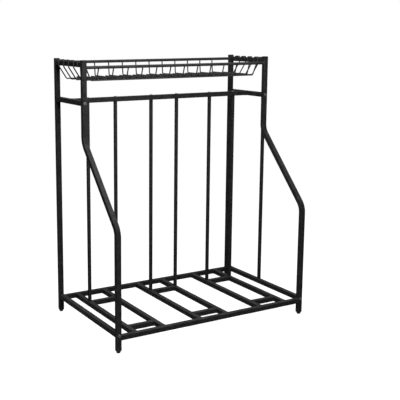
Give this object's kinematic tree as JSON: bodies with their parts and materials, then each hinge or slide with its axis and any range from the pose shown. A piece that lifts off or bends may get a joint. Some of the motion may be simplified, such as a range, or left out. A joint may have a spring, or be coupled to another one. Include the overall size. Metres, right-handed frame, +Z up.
{
  "type": "bike rack",
  "caption": "Floor-standing bike rack of square steel tube: upright bars hold bicycle wheels, with a wire basket on top.",
  "frame": {"origin": "middle of the footprint, on the floor that the feet stand on", "axes": "+Z up, +X to the right seen from the front, +Y to the rear, the front faces -Y"},
  "size_m": [0.8706, 0.5352, 1.046],
  "materials": {
    "frame_coat": "satin black powder coat on square steel tube",
    "basket_coat": "satin black powder coat on round wire and rod",
    "bolt_black": "black oxide, slightly glossy",
    "black_plastic": "moulded black plastic, fine grain"
  },
  "bodies": {
    "root": {"rear_post_left": "frame_coat", "rear_post_right": "frame_coat", "front_post_left": "frame_coat", "front_post_right": "frame_coat", "top_side_tube_left": "frame_coat", "top_side_tube_right": "frame_coat", "side_bar_left": "frame_coat", "side_bar_right": "frame_coat", "base_side_rail_left": "frame_coat", "base_side_rail_right": "frame_coat", "crossbar": "frame_coat", "base_front_rail": "frame_coat", "base_rear_rail": "frame_coat", "wheel_rail_1": "frame_coat", "wheel_rail_2": "frame_coat", "wheel_rail_3": "frame_coat", "wheel_rail_4": "frame_coat", "wheel_rail_5": "frame_coat", "wheel_rail_6": "frame_coat", "wheel_bar_1": "frame_coat", "wheel_bar_2": "frame_coat", "wheel_bar_3": "frame_coat", "wheel_bar_4": "frame_coat", "wheel_bar_5": "frame_coat", "wheel_bar_6": "frame_coat", "front_spreader_1": "frame_coat", "front_spreader_2": "frame_coat", "front_spreader_3": "frame_coat", "rear_spreader_1": "frame_coat", "rear_spreader_2": "frame_coat", "rear_spreader_3": "frame_coat", "right_stay": "frame_coat", "foot_front_left": "black_plastic", "foot_front_right": "black_plastic", "foot_rear_left": "black_plastic", "foot_rear_right": "black_plastic", "cap_front_left": "black_plastic", "cap_front_right": "black_plastic", "cap_rear_left": "black_plastic", "cap_rear_right": "black_plastic", "crossbar_bolts": "bolt_black", "side_bar_bolts": "bolt_black", "base_bolts": "bolt_black", "basket_front_rod": "basket_coat", "basket_rear_rod": "basket_coat", "basket_front_wires": "basket_coat", "basket_rear_wires": "basket_coat", "basket_long_wires": "basket_coat"}
  },
  "joints": []
}
